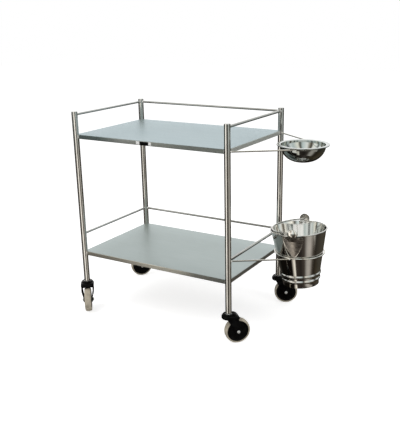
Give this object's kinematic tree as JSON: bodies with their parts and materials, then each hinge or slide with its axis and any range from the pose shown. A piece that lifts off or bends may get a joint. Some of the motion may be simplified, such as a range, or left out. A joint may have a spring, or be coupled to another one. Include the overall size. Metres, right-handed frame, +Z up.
{
  "type": "dressing trolley",
  "caption": "Stainless steel dressing trolley with shelves, guard rails, swivel casters, and a lift-out bowl and bucket in ring brackets.",
  "frame": {"origin": "middle of the overall box, on the floor", "axes": "+X along the trolley towards the bowl and bucket, -Y the open front, +Z up"},
  "size_m": [1.0966, 0.586, 0.882],
  "materials": {
    "polished_steel": "polished stainless",
    "upper_shelf_steel": "satin stainless",
    "lower_shelf_steel": "satin stainless",
    "plated_steel": "bright zinc plated",
    "black_plastic": "moulded, slight sheen",
    "tyre_rubber": "smooth, matt"
  },
  "bodies": {
    "frame": {"post_front_left": "polished_steel", "post_front_right": "polished_steel", "post_back_left": "polished_steel", "post_back_right": "polished_steel", "post_cap_front_left": "polished_steel", "post_cap_front_right": "polished_steel", "post_cap_back_left": "polished_steel", "post_cap_back_right": "polished_steel", "top_shelf": "upper_shelf_steel", "bottom_shelf": "lower_shelf_steel", "top_rail_left": "polished_steel", "top_rail_back": "polished_steel", "top_rail_right": "polished_steel", "bottom_rail_left": "polished_steel", "bottom_rail_back": "polished_steel", "bottom_rail_right": "polished_steel", "bowl_bracket_ring": "polished_steel", "bowl_bracket_arm_front": "polished_steel", "bowl_bracket_arm_back": "polished_steel", "bucket_bracket_ring": "polished_steel", "bucket_bracket_arm_front": "polished_steel", "bucket_bracket_arm_back": "polished_steel", "caster_front_left_stem": "plated_steel", "caster_front_right_stem": "plated_steel", "caster_back_left_stem": "plated_steel", "caster_back_right_stem": "plated_steel"},
    "swivel_front_left": {"caster_front_left_swivel_race": "black_plastic", "caster_front_left_fork": "black_plastic", "caster_front_left_axle_bolt": "plated_steel", "caster_front_left_axle_nut": "plated_steel"},
    "swivel_front_right": {"caster_front_right_swivel_race": "black_plastic", "caster_front_right_fork": "black_plastic", "caster_front_right_axle_bolt": "plated_steel", "caster_front_right_axle_nut": "plated_steel"},
    "swivel_back_left": {"caster_back_left_swivel_race": "black_plastic", "caster_back_left_fork": "black_plastic", "caster_back_left_axle_bolt": "plated_steel", "caster_back_left_axle_nut": "plated_steel"},
    "swivel_back_right": {"caster_back_right_swivel_race": "black_plastic", "caster_back_right_fork": "black_plastic", "caster_back_right_axle_bolt": "plated_steel", "caster_back_right_axle_nut": "plated_steel"},
    "wheel_front_left": {"caster_front_left_wheel_hub": "black_plastic", "caster_front_left_tyre": "tyre_rubber"},
    "wheel_front_right": {"caster_front_right_wheel_hub": "black_plastic", "caster_front_right_tyre": "tyre_rubber"},
    "wheel_back_left": {"caster_back_left_wheel_hub": "black_plastic", "caster_back_left_tyre": "tyre_rubber"},
    "wheel_back_right": {"caster_back_right_wheel_hub": "black_plastic", "caster_back_right_tyre": "tyre_rubber"},
    "bowl": {"bowl": "polished_steel"},
    "bucket": {"bucket_body": "polished_steel", "bucket_bottom": "polished_steel", "bucket_ear_front": "polished_steel", "bucket_ear_back": "polished_steel"},
    "bail": {"bucket_bail": "polished_steel"}
  },
  "joints": [
    {"name": "swivel_front_left", "type": "hinge", "parent": "frame", "child": "swivel_front_left", "pos_m": [-0.48266, -0.21984, 0.126], "axis": [0, 0, 1], "continuous": true},
    {"name": "swivel_front_right", "type": "hinge", "parent": "frame", "child": "swivel_front_right", "pos_m": [0.24234, -0.21984, 0.126], "axis": [0, 0, 1], "continuous": true},
    {"name": "swivel_back_left", "type": "hinge", "parent": "frame", "child": "swivel_back_left", "pos_m": [-0.48266, 0.24316, 0.126], "axis": [0, 0, 1], "continuous": true},
    {"name": "swivel_back_right", "type": "hinge", "parent": "frame", "child": "swivel_back_right", "pos_m": [0.24234, 0.24316, 0.126], "axis": [0, 0, 1], "continuous": true},
    {"name": "roll_front_left", "type": "hinge", "parent": "swivel_front_left", "child": "wheel_front_left", "pos_m": [-0.46032, -0.24742, 0.052], "axis": [0.7771, 0.6293, 0], "continuous": true},
    {"name": "roll_front_right", "type": "hinge", "parent": "swivel_front_right", "child": "wheel_front_right", "pos_m": [0.267, -0.1943, 0.052], "axis": [-0.7193, 0.6947, 0], "continuous": true},
    {"name": "roll_back_left", "type": "hinge", "parent": "swivel_back_left", "child": "wheel_back_left", "pos_m": [-0.50641, 0.21678, 0.052], "axis": [0.7431, -0.6691, 0], "continuous": true},
    {"name": "roll_back_right", "type": "hinge", "parent": "swivel_back_right", "child": "wheel_back_right", "pos_m": [0.27397, 0.25928, 0.052], "axis": [-0.454, 0.891, 0], "continuous": true},
    {"name": "bowl_lift", "type": "slide", "parent": "frame", "child": "bowl", "axis": [0, 0, 1], "range_m": [0, 0.1]},
    {"name": "bucket_lift", "type": "slide", "parent": "frame", "child": "bucket", "axis": [0, 0, 1], "range_m": [0, 0.145]},
    {"name": "bail_swing", "type": "hinge", "parent": "bucket", "child": "bail", "pos_m": [0.43366, 0.01166, 0.45575], "axis": [-0.1903, 0.9816, -0.0133], "range_deg": [0, 184]}
  ]
}
